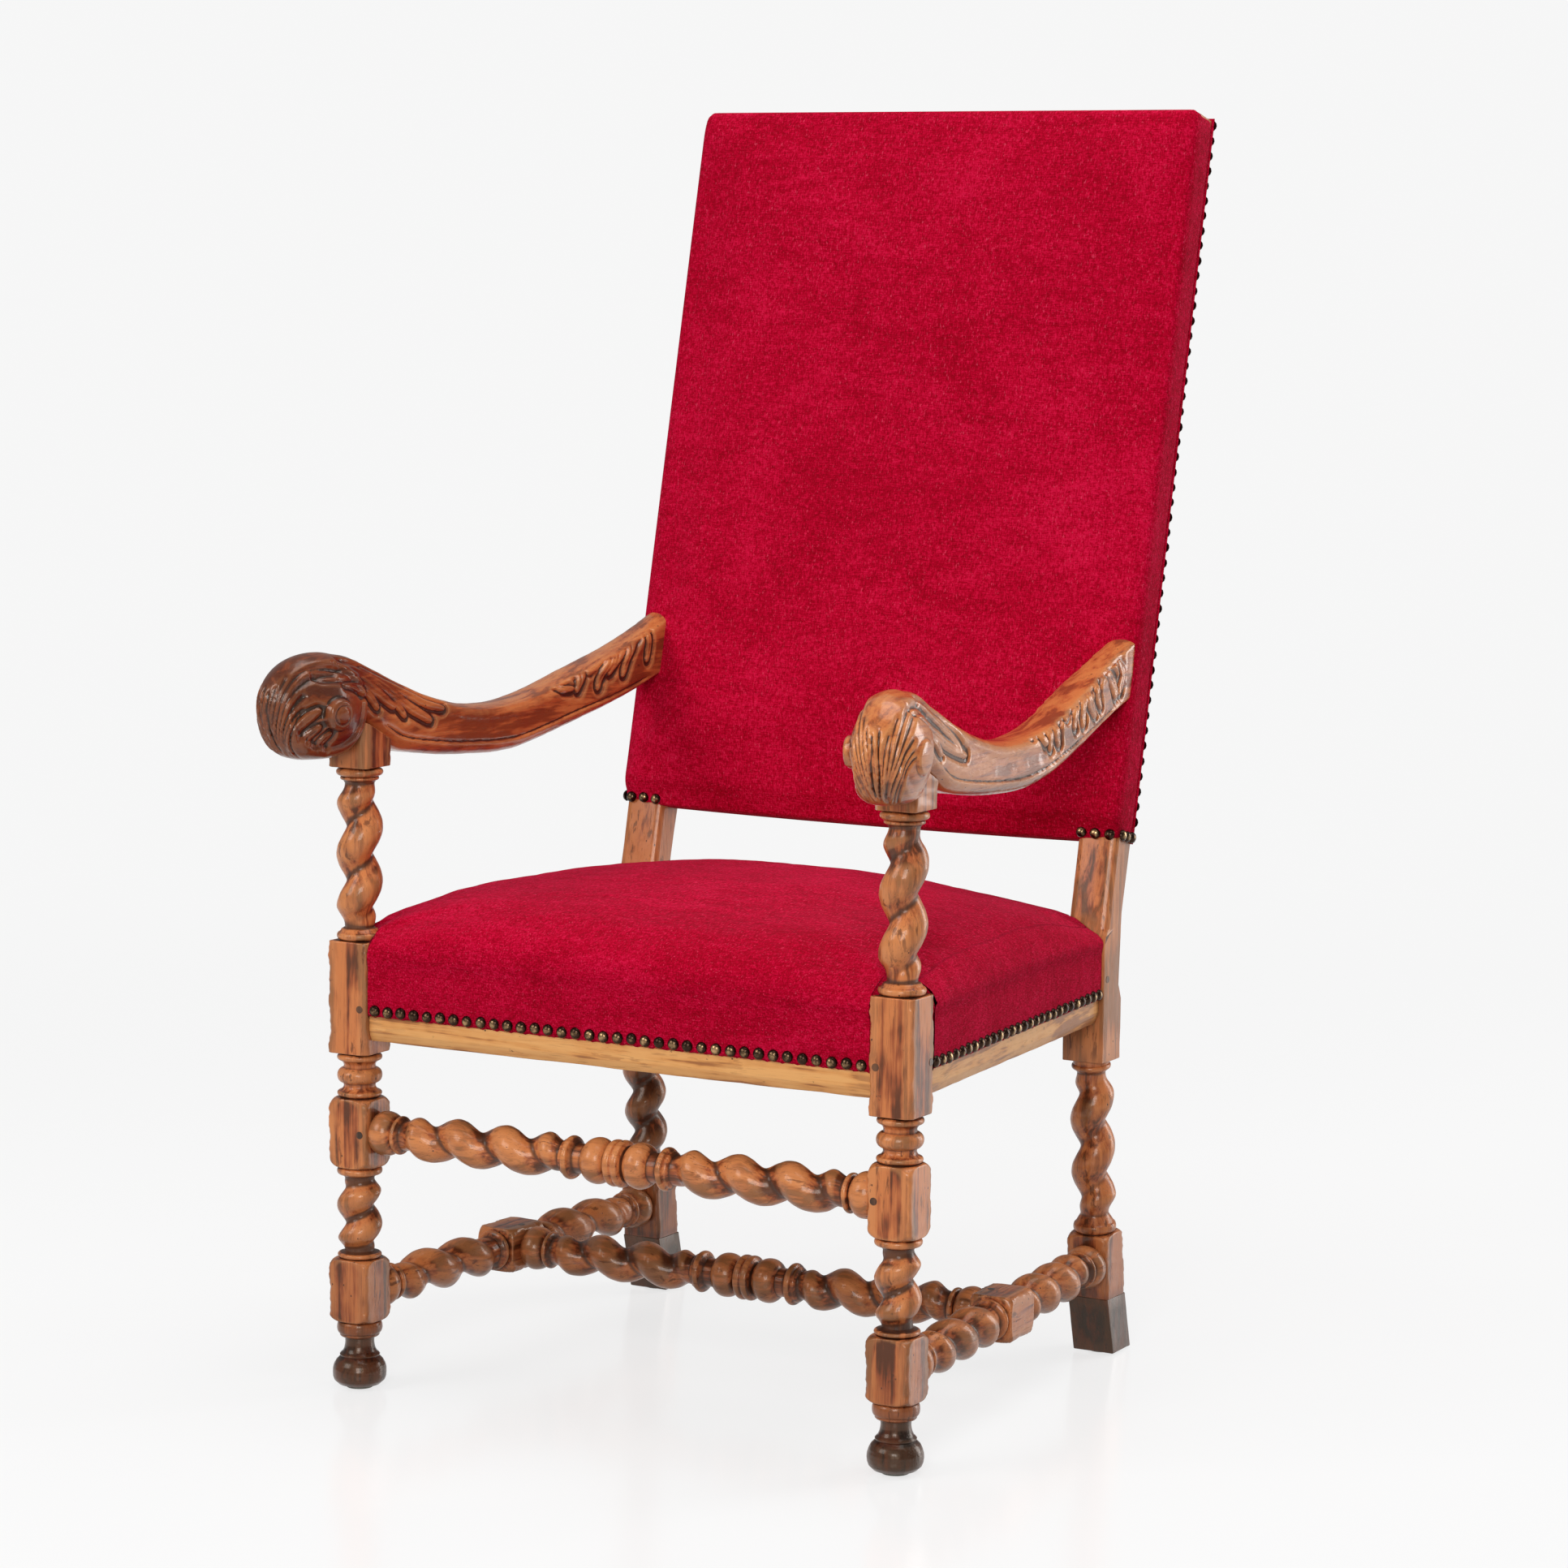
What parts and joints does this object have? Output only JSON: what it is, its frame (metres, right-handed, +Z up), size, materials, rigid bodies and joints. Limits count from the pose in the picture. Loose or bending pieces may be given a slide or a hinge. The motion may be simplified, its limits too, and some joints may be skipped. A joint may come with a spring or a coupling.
{
  "type": "high-back armchair",
  "caption": "High-backed open armchair with rope-turned posts and stretchers, carved scroll arms and a velvet seat and back edged with domed nails.",
  "frame": {"origin": "floor level, at the middle of the chair's bounding box in plan", "axes": "+Z up, -Y towards the front, +X towards the side on the right of someone who faces the chair from the front"},
  "size_m": [0.662, 0.7632, 1.189],
  "materials": {
    "turned_wood": "old waxed polish, satin, worn paler on the ridges",
    "carved_wood": "old waxed polish, satin, dark in the carving and worn pale on the hand rest",
    "dark_wood": "dark stained, semi-gloss",
    "rail_wood": "thin brown stain, matt",
    "velvet": "short dense cotton pile with a soft sheen",
    "stuffing": "curled hair, not seen",
    "jute": "coarse plain weave",
    "nail_brass": "antiqued brass, darkened at the rim",
    "pad": "matt"
  },
  "bodies": {
    "root": {"front_post_left": "turned_wood", "front_post_right": "turned_wood", "front_foot_left": "dark_wood", "front_foot_right": "dark_wood", "rear_post_left": "turned_wood", "rear_post_right": "turned_wood", "rear_foot_left": "dark_wood", "rear_foot_right": "dark_wood", "foot_pads": "pad", "front_stretcher": "turned_wood", "side_stretcher_left": "turned_wood", "side_stretcher_right": "turned_wood", "cross_stretcher": "turned_wood", "front_rail": "rail_wood", "rear_rail": "rail_wood", "side_rail_left": "rail_wood", "side_rail_right": "rail_wood", "joint_pegs": "dark_wood", "arm_left": "carved_wood", "arm_right": "carved_wood", "back_top_rail": "rail_wood", "back_bottom_rail": "rail_wood", "seat_webbing": "jute", "seat_hessian": "jute", "seat_stuffing": "stuffing", "seat_cover": "velvet", "back_webbing": "jute", "back_hessian": "jute", "back_stuffing": "stuffing", "back_cover": "velvet", "outside_back": "velvet", "seat_front_nails": "nail_brass", "seat_side_nails_left": "nail_brass", "seat_side_nails_right": "nail_brass", "seat_rear_nails": "nail_brass", "back_lower_nails": "nail_brass", "outside_back_nails_left": "nail_brass", "outside_back_nails_right": "nail_brass", "outside_back_nails_ends": "nail_brass"}
  },
  "joints": []
}
